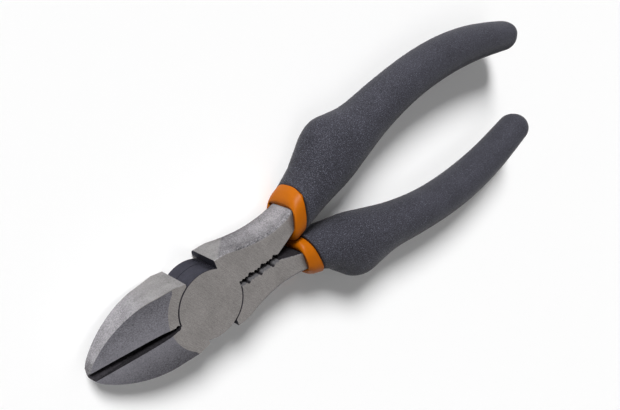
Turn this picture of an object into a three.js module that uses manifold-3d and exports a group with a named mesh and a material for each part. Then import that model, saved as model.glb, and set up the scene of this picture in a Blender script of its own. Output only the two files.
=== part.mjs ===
// Diagonal cutting pliers with a lap joint, a hidden rivet, a crimping zone behind the joint
// and two-layer handle covers. Millimetres, +Z up, jaws towards +X.
// The origin is the centre of the joint's underside, on the pivot axis.
import * as THREE from "three";
import { mergeVertices } from "three/addons/utils/BufferGeometryUtils.js";
import Module from "manifold-3d";

// Lap joint
const discRadius = 10.8;
const halfThickness = 6.5;
const lapGap = 0.2;
const discEdgeGap = 0.25;
const frontChamfer = 0.12;
const backChamfer = 1.7;

// Rivet, peened into a countersink at both ends and ground flush
const rivetRadius = 3.2;
const rivetHeadRadius = 4.3;
const rivetHeadDepth = 1.6;
const rivetClearance = 0.05;

// Jaws
const jawLength = 38.2;
const jawBreadth = 11.6;
const jawShoulderPlace = 5;
const jawShoulderBreadth = 10.8;
const jawShoulderLand = 3.8;
const jawNose = 0.4;
const bossRadius = 14.3;
const bevelSlope = 0.2;
const cuttingGap = 0.1;

// Cutting edges, at the bottom of a slot that both jaws share. Its wall stands further back on the
// upper half, and each wall runs in towards the joint from its breadth to its root.
const slotWalls = {
  upper: { breadth: 1.66, root: 0.75, runOut: 5 },
  lower: { breadth: 1.3, root: 0.45, runOut: 2.5 },
};
const slotRootPlace = 12.2;
const knifeAngle = THREE.MathUtils.degToRad(42);
const reliefRadius = 0.85;
const reliefPlace = 11.9;

// Handles, measured from the pivot to the tail
const handleLength = 163.2;
const handleSpread = 26;
const shankHalfWidth = 5;
const handleShoulderPlace = 5.6;
const tangEnd = 150;
const frontCornerRadius = 1.2;
const crispCornerRadius = 0.45;
const backCornerRadius = 2.2;

// Crimping zone behind the joint
const crimpGap = 1.5;
const crimpTaper = THREE.MathUtils.degToRad(1.2);
const crimpEnd = 27.4;
const toothPitch = 1.21;
const toothDepth = 0.4;
const nestRadius = 0.6;
const nestPitch = 4.8;
const nestCount = 3;
const nestStagger = 1.1;

// Handle covers: an inner sleeve whose collar shows, and a grip over it
const collarPlace = 35.3;
const collarLength = 5.2;
const collarHalfWidth = 7;
const collarHalfThickness = 7.5;
const collarOffsets = { upper: 0.7, lower: -0.4 };
const collarSlant = THREE.MathUtils.degToRad(30);
const closedGap = 0.4;
const sleeveWall = 1.1;
const coverGap = 0.3;
const gripHalfWidth = 7.6;
const gripHalfThickness = 7.4;
const tailRadius = 6.2;
const tailTurn = THREE.MathUtils.degToRad(87);
const collarFullness = 2.6;
const gripFullness = 2.2;

// The jaw's outer outline from the nose to the boss: the points of one cubic curve, as shares of the
// jaw's length and breadth
const jawOutlineShares = [
  [0.97, 0.151],
  [0.9285, 0.413],
  [0.665, 1.074],
  [0.376, 1],
];

// The spine that both the forging and the covers follow, as shares of the handle's length and spread
const spineShares = [
  [0, 0.27],
  [0.097, 0.235],
  [0.193, 0.245],
  [0.29, 0.44],
  [0.406, 0.7],
  [0.532, 0.88],
  [0.677, 0.985],
  [0.822, 0.955],
  [1, 0.74],
];

// Shares of the sizes above, each against the share of the way from pivot to tail. The lower half is
// a little wider where it enters its collar.
const shankOutShares = {
  upper: [
    [0, 1.0],
    [0.055, 1.09],
    [0.075, 0.98],
    [0.1, 0.83],
    [0.13, 0.71],
    [0.2, 0.66],
    [0.3, 0.66],
    [1, 0.5],
  ],
  lower: [
    [0, 1.0],
    [0.055, 1.09],
    [0.075, 0.98],
    [0.1, 0.83],
    [0.13, 0.72],
    [0.16, 0.71],
    [0.2, 0.77],
    [0.225, 0.77],
    [0.3, 0.66],
    [1, 0.5],
  ],
};
const shankInShares = [
  [0, 1.25],
  [0.14, 1.2],
  [0.17, 0.84],
  [0.2, 0.57],
  [0.225, 0.47],
  [0.27, 0.5],
  [0.4, 0.6],
  [1, 0.5],
];
const shankThicknessShares = [
  [0, 1],
  [0.16, 1],
  [0.22, 0.88],
  [0.27, 0.68],
  [0.4, 0.56],
  [1, 0.5],
];
const frontCornerShares = [
  [0, 0.2],
  [0.05, 0.25],
  [0.09, 0.8],
  [0.14, 1],
];
const backCornerShares = [
  [0, 0.8],
  [0.14, 1],
];
const coverSlantShares = {
  upper: [
    [0.25, 1],
    [0.265, 0.9],
    [0.31, 0],
  ],
  lower: [
    [0.212, 0.6],
    [0.243, 1],
    [0.265, 0.9],
    [0.31, 0],
  ],
};
const gripOutShares = [
  [0.2, 0.7],
  [0.24, 0.84],
  [0.28, 1.01],
  [0.305, 1.14],
  [0.335, 1.44],
  [0.36, 1.7],
  [0.39, 1.76],
  [0.42, 1.48],
  [0.45, 1.21],
  [0.48, 1.09],
  [0.53, 1.06],
  [0.62, 1.04],
  [0.72, 1.02],
  [0.8, 0.95],
  [0.9, 0.81],
  [0.96, 0.7],
  [1, 0.6],
];
const gripInShares = [
  [0.2, 1.03],
  [0.24, 1.05],
  [0.29, 1.08],
  [0.36, 1.27],
  [0.42, 1.22],
  [0.5, 1.06],
  [0.58, 0.93],
  [0.64, 0.9],
  [0.8, 0.91],
  [0.88, 0.88],
  [1, 0.8],
];
const gripThicknessShares = [
  [0.2, 1.06],
  [0.28, 1.16],
  [0.38, 1.27],
  [0.44, 1.2],
  [0.5, 1.08],
  [0.6, 1.02],
  [0.75, 0.96],
  [0.9, 0.9],
  [1, 0.86],
];

// How finely the round surfaces are divided
const discFacets = 64;
const bevelFacets = 84;
const rivetFacets = 40;
const holeFacets = 20;
const curveSteps = 20;
const cornerSteps = 4;
const shankRings = 16;
const tangRings = 12;
const sleeveRings = 10;
const gripRings = 30;
const gripPoints = 24;
const collarRings = 6;
const tailRings = 5;

const overrun = 1;
const weldDistance = 1e-4;
const halfTurn = Math.PI;
const quarterTurn = Math.PI / 2;
const fullTurn = 2 * Math.PI;
const up = new THREE.Vector3(0, 0, 1);

const wasm = await Module();
wasm.setup();

// Closed geometry to a solid that can be joined and cut.
function solidOf(geometry) {
  const loose = geometry.index ? geometry.toNonIndexed() : geometry.clone();
  loose.deleteAttribute("normal");
  loose.deleteAttribute("uv");
  const merged = mergeVertices(loose, weldDistance);
  const vertProperties = merged.attributes.position.array;
  const triVerts = new Uint32Array(merged.index.array);
  return new wasm.Manifold(new wasm.Mesh({ numProp: 3, vertProperties, triVerts }));
}

// A solid back to geometry, flat shaded.
function geometryOf(made) {
  const mesh = made.getMesh();
  const points = new Float32Array(mesh.numVert * 3);
  for (let i = 0; i < mesh.numVert; i++) {
    const start = i * mesh.numProp;
    points.set(mesh.vertProperties.subarray(start, start + 3), i * 3);
  }
  const indexed = new THREE.BufferGeometry();
  indexed.setAttribute("position", new THREE.BufferAttribute(points, 3));
  indexed.setIndex(new THREE.BufferAttribute(mesh.triVerts, 1));
  const flat = indexed.toNonIndexed();
  flat.computeVertexNormals();
  return flat;
}

// A closed skin over a row of rings with the same number of points each, capped at both ends.
// Each ring runs anticlockwise as seen from the far end looking back.
function loft(rings) {
  const count = rings[0].length;
  const positions = [];
  rings.forEach((ring) => ring.forEach((point) => positions.push(point.x, point.y, point.z)));
  const index = [];
  for (let i = 0; i + 1 < rings.length; i++) {
    for (let j = 0; j < count; j++) {
      const k = (j + 1) % count;
      const here = i * count;
      const next = here + count;
      index.push(here + j, here + k, next + k);
      index.push(here + j, next + k, next + j);
    }
  }
  [rings[0], rings[rings.length - 1]].forEach((ring, end) => {
    const middle = ring.reduce((sum, point) => sum.add(point), new THREE.Vector3()).divideScalar(count);
    const centre = positions.length / 3;
    positions.push(middle.x, middle.y, middle.z);
    const first = end === 0 ? 0 : (rings.length - 1) * count;
    for (let j = 0; j < count; j++) {
      const k = (j + 1) % count;
      index.push(centre, first + (end === 0 ? k : j), first + (end === 0 ? j : k));
    }
  });
  const geometry = new THREE.BufferGeometry();
  geometry.setAttribute("position", new THREE.Float32BufferAttribute(positions, 3));
  geometry.setIndex(index);
  return geometry;
}

// A smooth value between the rows of a table of [place share, value share].
function shareAt(shares, place) {
  const last = shares.length - 1;
  if (place <= shares[0][0]) return shares[0][1];
  if (place >= shares[last][0]) return shares[last][1];
  const i = shares.findIndex((row) => row[0] > place) - 1;
  const [x1, y1] = shares[i];
  const [x2, y2] = shares[i + 1];
  const [x0, y0] = shares[Math.max(i - 1, 0)];
  const [x3, y3] = shares[Math.min(i + 2, last)];
  const span = x2 - x1;
  const t = (place - x1) / span;
  const slope1 = ((y2 - y0) / (x2 - x0)) * span;
  const slope2 = ((y3 - y1) / (x3 - x1)) * span;
  const cubic = 2 * (y1 - y2) + slope1 + slope2;
  const square = 3 * (y2 - y1) - 2 * slope1 - slope2;
  return ((cubic * t + square) * t + slope1) * t + y1;
}

const spine = new THREE.CatmullRomCurve3(
  spineShares.map(([along, across]) => new THREE.Vector3(-along * handleLength, -across * handleSpread, 0)),
);
const spineLength = spine.getLength();

// Places the points of a flat section, [outwards, up], on the spine at a distance from the pivot.
// A slant leans the section's outer side towards the tail, and stretches it to fit the same body.
function ringAt(distance, section, slant = 0) {
  const share = Math.min(distance / spineLength, 1);
  const centre = spine.getPointAt(share);
  const along = spine.getTangentAt(share);
  const outward = up.clone().cross(along).addScaledVector(along, Math.tan(slant));
  return section.map(([out, high]) =>
    centre.clone().addScaledVector(outward, out).addScaledVector(up, high),
  );
}

function coverSlant(distance, side) {
  return collarSlant * shareAt(coverSlantShares[side], distance / spineLength);
}

// A run of even steps from start to end, both included.
function steps(start, end, count) {
  return Array.from({ length: count + 1 }, (_, i) => start + ((end - start) * i) / count);
}

// A rectangle with round corners, its reaches counted from the spine. The radii start at the outer
// corner above and end at the outer corner below.
function roundedSection({ out, inn, high }, radii) {
  const most = Math.min(high, (out + inn) / 2);
  const [outAbove, innAbove, innBelow, outBelow] = radii.map((radius) => Math.min(radius, most));
  const corners = [
    [out - outAbove, high - outAbove, outAbove],
    [innAbove - inn, high - innAbove, innAbove],
    [innBelow - inn, innBelow - high, innBelow],
    [out - outBelow, outBelow - high, outBelow],
  ];
  return corners.flatMap(([across, level, radius], turn) =>
    steps(turn * quarterTurn, (turn + 1) * quarterTurn, cornerSteps).map((angle) => [
      across + radius * Math.cos(angle),
      level + radius * Math.sin(angle),
    ]),
  );
}

// An oval whose outer and inner halves reach differently from the spine. Fullness 2 is an ellipse.
function ovalSection({ out, inn, high }, points, fullness) {
  const swell = (value) => Math.sign(value) * Math.abs(value) ** (2 / fullness);
  return Array.from({ length: points }, (_, i) => {
    const angle = (fullTurn * i) / points;
    const reach = Math.cos(angle) > 0 ? out : inn;
    return [reach * swell(Math.cos(angle)), high * swell(Math.sin(angle))];
  });
}

function widened({ out, inn, high }, by) {
  return { out: out + by, inn: inn + by, high: high + by };
}

// Reaches of the forged shank and of the tang that it becomes under the covers.
function shankReach(distance, side) {
  const place = distance / spineLength;
  return {
    out: shankHalfWidth * shareAt(shankOutShares[side], place),
    inn: shankHalfWidth * shareAt(shankInShares, place),
    high: halfThickness * Math.min(shareAt(shankThicknessShares, place), 1),
  };
}

// The tool's front is ground flat, which leaves crisp edges at the joint and along the inner side. Its
// back keeps the forging's round ones. The upper half shows the front at its top, and the lower half,
// turned over, at its bottom.
function shankCorners(distance, side, clearance) {
  const place = distance / spineLength;
  const crisp = crispCornerRadius + clearance;
  const front = frontCornerRadius * shareAt(frontCornerShares, place) + clearance;
  const back = backCornerRadius * shareAt(backCornerShares, place) + clearance;
  return side === "upper" ? [front, crisp, back, back] : [back, back, crisp, front];
}

function shankRing(distance, side, clearance) {
  const reach = widened(shankReach(distance, side), clearance);
  return ringAt(distance, roundedSection(reach, shankCorners(distance, side, clearance)));
}

function gripReach(distance) {
  const place = distance / spineLength;
  return {
    out: gripHalfWidth * shareAt(gripOutShares, place),
    inn: gripHalfWidth * shareAt(gripInShares, place),
    high: gripHalfThickness * shareAt(gripThicknessShares, place),
  };
}

// Forging: handle part
function shankBlank(side) {
  const bare = steps(0, collarPlace + collarLength, shankRings);
  const covered = steps(collarPlace + collarLength, tangEnd, tangRings);
  const distances = [...bare, ...covered.slice(1)];
  return solidOf(loft(distances.map((distance) => shankRing(distance, side, 0))));
}

// Everything ahead of the handle's shoulder, which stops against the other half's jaw when open.
function shoulderCutter() {
  const side = 2 * (handleSpread + discRadius);
  const box = new THREE.BoxGeometry(side, side, side);
  box.translate(side / 2 - handleShoulderPlace, 0, 0);
  return solidOf(box);
}

// The inner side of the crimping zone: a flat with fine teeth and round nests, cut through. The nests
// of the upper half sit a little further back than those that face them.
function crimpCutter(side) {
  const depth = 2 * (halfThickness + overrun);
  const teeth = Math.floor((crimpEnd - discRadius) / toothPitch);
  const outline = new THREE.Shape();
  outline.moveTo(overrun, handleSpread);
  outline.lineTo(overrun, 0);
  outline.lineTo(-discRadius, 0);
  for (let i = 0; i < teeth; i++) {
    const start = -discRadius - i * toothPitch;
    outline.lineTo(start, -toothDepth / 2);
    outline.lineTo(start - toothPitch / 2, toothDepth / 2);
  }
  outline.lineTo(-crimpEnd - toothPitch, 0);
  outline.lineTo(-crimpEnd - discRadius, 0);
  outline.lineTo(-crimpEnd - discRadius, handleSpread);
  outline.closePath();
  const flat = new THREE.ExtrudeGeometry(outline, { depth, bevelEnabled: false });
  flat.translate(0, 0, -depth / 2);
  flat.rotateZ(crimpTaper);
  flat.translate(0, -crimpGap / 2, 0);
  const stagger = side === "upper" ? nestStagger / 2 : -nestStagger / 2;
  const middle = (discRadius + crimpEnd) / 2 + stagger;
  return Array.from({ length: nestCount }, (_, i) => {
    const place = middle + (i - (nestCount - 1) / 2) * nestPitch;
    const nest = new THREE.CylinderGeometry(nestRadius, nestRadius, depth, holeFacets);
    nest.rotateX(quarterTurn);
    nest.translate(-place, -crimpGap / 2 - place * Math.sin(crimpTaper), 0);
    return solidOf(nest);
  }).reduce((made, nest) => made.add(nest), solidOf(flat));
}

function handlePart(side) {
  return shankBlank(side).subtract(shoulderCutter()).subtract(crimpCutter(side));
}

// Forging: jaw part
function jawBlank() {
  const depth = 2 * halfThickness;
  const outline = new THREE.Shape();
  const [nose, noseSide, cheek, root] = jawOutlineShares.map(([along, across]) => [
    along * jawLength,
    across * jawBreadth,
  ]);
  outline.moveTo(jawShoulderPlace, cuttingGap / 2);
  outline.lineTo(jawLength - jawNose, cuttingGap / 2);
  outline.quadraticCurveTo(jawLength, cuttingGap / 2, ...nose);
  outline.bezierCurveTo(...noseSide, ...cheek, ...root);
  outline.lineTo(jawShoulderPlace + jawShoulderLand, jawBreadth);
  outline.lineTo(jawShoulderPlace, jawShoulderBreadth);
  outline.closePath();
  const blank = new THREE.ExtrudeGeometry(outline, { depth, bevelEnabled: false, curveSegments: curveSteps });
  blank.translate(0, 0, -depth / 2);
  return solidOf(blank);
}

// A ring that takes the jaw's face down towards the tip, past the round boss of the joint.
function bevelCutter(side) {
  const reach = jawLength + overrun;
  const profile = [
    [bossRadius, halfThickness],
    [reach, halfThickness - bevelSlope * (reach - bossRadius)],
    [reach, halfThickness + overrun],
    [bossRadius, halfThickness + overrun],
    [bossRadius, halfThickness],
  ];
  const ring = new THREE.LatheGeometry(
    profile.map(([radius, level]) => new THREE.Vector2(radius, level)),
    bevelFacets,
  );
  ring.rotateX(side * quarterTurn);
  return solidOf(ring);
}

// How far the slot's wall stands back from the cutting line at a place along the jaw.
function slotWall(place, side) {
  const { breadth, root, runOut } = slotWalls[side];
  const run = Math.max(place - slotRootPlace, 0) / runOut;
  return breadth - (breadth - root) * Math.exp(-run);
}

// The slot with the knife's two bevels at its bottom, as a row of sections across the jaw.
function slotCutter(side) {
  const level = halfThickness + overrun;
  const edge = cuttingGap / 2;
  const rings = steps(slotRootPlace, jawLength + overrun, curveSteps).map((place) => {
    const wall = slotWall(place, side);
    const bevel = (wall - edge) / Math.tan(knifeAngle);
    const section = [
      [-overrun, -level],
      [wall, -level],
      [wall, -bevel],
      [edge, 0],
      [wall, bevel],
      [wall, level],
      [-overrun, level],
    ];
    return section.map(([y, z]) => new THREE.Vector3(place, y, z));
  });
  return solidOf(loft(rings));
}

function reliefCutter() {
  const hole = new THREE.CylinderGeometry(
    reliefRadius,
    reliefRadius,
    2 * (halfThickness + overrun),
    holeFacets,
  );
  hole.rotateX(quarterTurn);
  hole.translate(reliefPlace, 0, 0);
  return solidOf(hole);
}

function jawPart(side) {
  return jawBlank().subtract(bevelCutter(1)).subtract(bevelCutter(-1)).subtract(slotCutter(side));
}

// A body turned about the pivot axis from a profile of [radius, level].
function turned(profile, facets) {
  const points = profile.map(([radius, level]) => new THREE.Vector2(radius, level));
  const body = new THREE.LatheGeometry(points, facets);
  body.rotateX(quarterTurn);
  return solidOf(body);
}

function discPart(side) {
  const chamfer = side === "upper" ? frontChamfer : backChamfer;
  const profile = [
    [0, lapGap / 2],
    [discRadius, lapGap / 2],
    [discRadius, halfThickness - chamfer],
    [discRadius - chamfer, halfThickness],
    [0, halfThickness],
  ];
  return turned(profile, discFacets);
}

// The room that the other half's disc turns in, with a broken edge at the tool's face.
function discRoom() {
  const radius = discRadius + discEdgeGap;
  const profile = [
    [0, -halfThickness - overrun],
    [radius + frontChamfer + overrun, -halfThickness - overrun],
    [radius, frontChamfer - halfThickness],
    [radius, lapGap / 2],
    [0, lapGap / 2],
  ];
  return turned(profile, discFacets);
}

function rivetBody(clearance) {
  const head = rivetHeadRadius + clearance;
  const shaft = rivetRadius + clearance;
  const end = halfThickness + (clearance > 0 ? overrun : 0);
  const neck = halfThickness - rivetHeadDepth;
  const profile = [
    [0, -end],
    [head, -end],
    [head, -halfThickness],
    [shaft, -neck],
    [shaft, neck],
    [head, halfThickness],
    [head, end],
    [0, end],
  ];
  const distinct = profile.filter((row, i) => i === 0 || row.some((value, k) => value !== profile[i - 1][k]));
  return turned(distinct, rivetFacets);
}

// One forging: disc above the lap, jaw ahead, handle behind, all of the tool's thickness but the disc.
function pliersHalf(side) {
  return discPart(side)
    .add(jawPart(side))
    .add(handlePart(side))
    .subtract(discRoom())
    .subtract(reliefCutter())
    .subtract(rivetBody(rivetClearance));
}

// Covers. The collar sits off the shank's middle, towards the other handle, and less so on the lower half.
function collarReach(distance, side) {
  const shank = widened(shankReach(distance, side), coverGap + sleeveWall);
  const full = {
    out: collarHalfWidth - collarOffsets[side],
    inn: collarHalfWidth + collarOffsets[side],
    high: collarHalfThickness,
  };
  const way = Math.min((distance - collarPlace) / (collarLength / 2), 1);
  const swell = Math.sqrt(1 - (1 - way) ** 2);
  return {
    out: THREE.MathUtils.lerp(shank.out, full.out, swell),
    inn: THREE.MathUtils.lerp(shank.inn, full.inn, swell),
    high: THREE.MathUtils.lerp(shank.high, full.high, swell),
  };
}

function ovalRings(distances, side, reachAt, fullness) {
  return distances.map((distance) =>
    ringAt(distance, ovalSection(reachAt(distance, side), gripPoints, fullness), coverSlant(distance, side)),
  );
}

// The room round a shank, with a clearance.
function shankSpace(side, clearance, start, end) {
  const rings = steps(start, end, sleeveRings).map((distance) => shankRing(distance, side, clearance));
  return solidOf(loft(rings));
}

// What would reach past the tool's middle when the handles are closed.
function middleCutter() {
  const box = new THREE.BoxGeometry(2 * handleLength, handleSpread, 2 * handleSpread);
  box.translate(-handleLength / 2, (handleSpread - closedGap) / 2, 0);
  return solidOf(box);
}

const sleeveEnd = tangEnd + coverGap + sleeveWall;

function sleeve(side) {
  const collarEnd = collarPlace + collarLength;
  const places = steps(collarPlace, collarEnd, collarRings);
  const collar = loft(ovalRings(places, side, collarReach, collarFullness));
  const tube = shankSpace(side, coverGap + sleeveWall, collarEnd - overrun, sleeveEnd);
  const bore = shankSpace(side, coverGap, collarPlace - collarHalfWidth, tangEnd + coverGap);
  return solidOf(collar).add(tube).subtract(bore).subtract(middleCutter());
}

function tailShrink(distance) {
  const way = Math.max(distance - (spineLength - tailRadius), 0) / tailRadius;
  return Math.sqrt(Math.max(1 - way ** 2, 0));
}

function gripOuterReach(distance) {
  const { out, inn, high } = gripReach(distance);
  const shrink = tailShrink(distance);
  return { out: out * shrink, inn: inn * shrink, high: high * shrink };
}

function grip(side) {
  const start = collarPlace + collarLength + coverGap;
  const tailStart = spineLength - tailRadius;
  const tail = steps(0, tailTurn, tailRings).map((angle) => tailStart + tailRadius * Math.sin(angle));
  const body = steps(start, tailStart, gripRings);
  const outer = loft(ovalRings([...body.slice(0, -1), ...tail], side, gripOuterReach, gripFullness));
  const cavity = shankSpace(side, 2 * coverGap + sleeveWall, start - gripHalfWidth, sleeveEnd + coverGap);
  return solidOf(outer).subtract(cavity).subtract(middleCutter());
}

// Finishes
const finishes = {
  steel: { color: 0x8c8a8b, roughness: 0.42, metalness: 1 },
  rivet: { color: 0x7f7c7b, roughness: 0.4, metalness: 1 },
  sleeve: { color: 0xd9731a, roughness: 0.45, metalness: 0 },
  grip: { color: 0x45464f, roughness: 0.85, metalness: 0 },
};

function mesh(name, made, finish) {
  const piece = new THREE.Mesh(geometryOf(made), new THREE.MeshStandardMaterial(finish));
  piece.name = name;
  return piece;
}

// One half of the tool with its covers. The lower one is turned over about the X axis.
function sideGroup(side) {
  const group = new THREE.Group();
  group.add(mesh(`${side}_plier_half`, pliersHalf(side), finishes.steel));
  group.add(mesh(`${side}_inner_sleeve`, sleeve(side), finishes.sleeve));
  group.add(mesh(`${side}_grip`, grip(side), finishes.grip));
  return group;
}

function pliers() {
  const tool = new THREE.Group();
  tool.name = "diagonal_cutting_pliers";
  const upper = sideGroup("upper");
  const lower = sideGroup("lower");
  lower.rotation.x = halfTurn;
  tool.add(upper, lower, mesh("pivot_rivet", rivetBody(0), finishes.rivet));
  tool.children.forEach((child) => {
    child.position.z = halfThickness;
  });
  return tool;
}

export default pliers();
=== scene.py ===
# %% [markdown]
# # Diagonal cutting pliers
#
# This lesson dresses a side cutter of about 200 mm. The tool has seven pieces: two forged halves that
# cross in a lap joint, the rivet that they turn on, and on each handle a hard orange inner sleeve under
# a soft blue-grey grip. The solid model is settled already, so it is loaded first as a fixed frame, and
# nothing in it is moved or resized. What we add is what a solid model leaves out: smooth round covers,
# ground and blasted steel, moulded plastic, sandy rubber, light and a camera.

# %% Load the frame
import math

import bmesh
import bpy
import numpy as np
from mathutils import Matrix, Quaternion, Vector


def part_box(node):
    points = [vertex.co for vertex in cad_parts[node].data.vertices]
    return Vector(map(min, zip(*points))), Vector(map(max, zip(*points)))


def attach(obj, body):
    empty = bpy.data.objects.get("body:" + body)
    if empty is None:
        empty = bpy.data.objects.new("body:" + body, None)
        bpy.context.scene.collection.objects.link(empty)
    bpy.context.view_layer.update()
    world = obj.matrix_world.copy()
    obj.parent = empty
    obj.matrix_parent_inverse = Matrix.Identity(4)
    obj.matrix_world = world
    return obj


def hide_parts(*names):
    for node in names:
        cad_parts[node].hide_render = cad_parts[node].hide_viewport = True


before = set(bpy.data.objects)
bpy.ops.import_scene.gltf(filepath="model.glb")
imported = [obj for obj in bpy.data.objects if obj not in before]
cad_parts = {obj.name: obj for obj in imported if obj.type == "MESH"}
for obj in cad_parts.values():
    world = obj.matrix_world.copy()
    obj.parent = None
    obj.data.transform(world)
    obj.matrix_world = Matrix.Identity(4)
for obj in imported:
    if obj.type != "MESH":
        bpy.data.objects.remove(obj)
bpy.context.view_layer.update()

mm = 0.001
scene = bpy.context.scene

# %% [markdown]
# ## Sizes that the looks follow
#
# A finish changes where the real tool was machined another way: at the top of the joint, on the ring
# where the jaw's bevel starts, in the slot. We could pick those faces by hand, but picked faces are lost
# when the model changes. So we name the same driving sizes that the solid has, and work out every face's
# finish from them. The joint's levels come straight from the frame.

# %% Sizes that the looks follow
rivet_low, rivet_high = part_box("pivot_rivet")
joint_bottom = rivet_low.z
joint_top = rivet_high.z
lap_level = (joint_bottom + joint_top) / 2

disc_radius = 10.8 * mm
disc_edge_gap = 0.25 * mm
boss_radius = 14.3 * mm
jaw_shoulder_place = 5 * mm
handle_shoulder_place = 5.6 * mm
slot_half_breadth = 1.66 * mm
relief_place = 11.9 * mm
relief_radius = 0.85 * mm
crimp_end = 27.4 * mm
crimp_reach = 2.6 * mm
nest_radius = 0.6 * mm
nest_pitch = 4.8 * mm
nest_stagger = 1.1 * mm
nest_middle = -(disc_radius + crimp_end) / 2
bare_shank_end = 42 * mm
nose_place = 36 * mm
print("joint from", round(joint_bottom / mm, 2), "to", round(joint_top / mm, 2), "mm")

# %% [markdown]
# ## Camera
#
# The tool lies flat and is seen from above, from the side of the jaws, with the jaws at the lower left.
# A camera can be aimed with a Track To constraint, but that keeps the horizon level, and here the
# horizon is rolled. So we place the camera by azimuth, elevation and distance from a point on the tool,
# aim it with a quaternion, and roll it about its own line of sight.

# %% Camera
look_at = Vector((-47.178, -5.087, 6.5)) * mm
view_azimuth = math.radians(-43.026)
view_elevation = math.radians(46.786)
view_distance = 229.9 * mm
view_roll = math.radians(107.644)

level_share = math.cos(view_elevation)
towards_camera = Vector((
    level_share * math.cos(view_azimuth),
    level_share * math.sin(view_azimuth),
    math.sin(view_elevation),
))
aim = (-towards_camera).to_track_quat("-Z", "Y") @ Quaternion((0, 0, 1), view_roll)
camera = bpy.data.objects.new("camera", bpy.data.cameras.new("camera"))
camera.data.lens = 41.158
camera.data.sensor_width = 36
camera.data.clip_start = 10 * mm
camera.location = look_at + view_distance * towards_camera
camera.rotation_euler = aim.to_euler()
scene.collection.objects.link(camera)
scene.camera = camera
print("camera at", [round(value / mm, 1) for value in camera.location], "mm")

# %% [markdown]
# ## Node helpers
#
# Trees of nodes are built in code for the materials and for the covers. Written out, each node takes
# several lines of making, setting and linking. Two small helpers keep the recipes readable: one adds
# a node and fills its inputs, with a socket to link or a value to set, and one does arithmetic.

# %% Node helpers
def add_node(tree, kind, inputs=None, **settings):
    """Adds a node to a tree. An input is a socket to link or a value to set."""
    made = tree.nodes.new(kind)
    for key, value in settings.items():
        setattr(made, key, value)
    for key, value in (inputs or {}).items():
        if isinstance(value, bpy.types.NodeSocket):
            tree.links.new(value, made.inputs[key])
        else:
            made.inputs[key].default_value = value
    return made


def calculate(tree, operation, *values):
    """One step of arithmetic on sockets or numbers, as a socket."""
    return add_node(tree, "ShaderNodeMath", dict(enumerate(values)), operation=operation).outputs[0]


def new_group(name, kind, inputs, outputs):
    """An empty node group with named sockets, its input node and its output node."""
    tree = bpy.data.node_groups.new(name, kind)
    for socket_name, socket_type in inputs:
        tree.interface.new_socket(socket_name, in_out="INPUT", socket_type=socket_type)
    for socket_name, socket_type in outputs:
        tree.interface.new_socket(socket_name, in_out="OUTPUT", socket_type=socket_type)
    given = tree.nodes.new("NodeGroupInput")
    result = tree.nodes.new("NodeGroupOutput")
    return tree, given, result


FLOAT = "NodeSocketFloat"
COLOUR = "NodeSocketColor"
print("helpers ready")

# %% [markdown]
# ## Grain that several finishes share
#
# Blasted steel, ground steel, moulded plastic and sandy rubber all break up the light at two scales:
# a fine grain of a few tenths of a millimetre, and soft blotches some millimetres wide. A picture of
# each surface would need seams and unwrapping. Noise on Object coordinates has neither and keeps its
# real size, so one shader group gives both scales, and each finish places it with its own values.

# %% Grain group
def grain_group():
    """Fine grain and soft blotches, both about 0 on average, and a height for bumps."""
    tree, given, result = new_group(
        "surface grain",
        "ShaderNodeTree",
        [("Grain Size", FLOAT), ("Grain Contrast", FLOAT),
         ("Blotch Size", FLOAT), ("Blotch Contrast", FLOAT)],
        [("Shade", FLOAT), ("Height", FLOAT)],
    )
    place = add_node(tree, "ShaderNodeTexCoord").outputs["Object"]
    grain_scale = calculate(tree, "DIVIDE", 1.0, given.outputs["Grain Size"])
    blotch_scale = calculate(tree, "DIVIDE", 1.0, given.outputs["Blotch Size"])
    grain = add_node(tree, "ShaderNodeTexNoise",
                     {"Vector": place, "Scale": grain_scale, "Detail": 2.0, "Roughness": 0.6})
    blotches = add_node(tree, "ShaderNodeTexNoise",
                        {"Vector": place, "Scale": blotch_scale, "Detail": 3.0, "Roughness": 0.55})
    centred_grain = calculate(tree, "SUBTRACT", grain.outputs["Fac"], 0.5)
    centred_blotches = calculate(tree, "SUBTRACT", blotches.outputs["Fac"], 0.5)
    fine = calculate(tree, "MULTIPLY", centred_grain, given.outputs["Grain Contrast"])
    broad = calculate(tree, "MULTIPLY", centred_blotches, given.outputs["Blotch Contrast"])
    tree.links.new(calculate(tree, "ADD", fine, broad), result.inputs["Shade"])
    tree.links.new(grain.outputs["Fac"], result.inputs["Height"])
    return tree


surface_grain = grain_group()
print("group made:", surface_grain.name)

# %% [markdown]
# ## Grinding lines
#
# A ground face carries fine parallel scratches from the wheel. They could be drawn one by one, but noise
# that is stretched along one direction gives the same look in two nodes. The group takes the direction
# of the scratches, their spacing and how much longer than wide they are.

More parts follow.
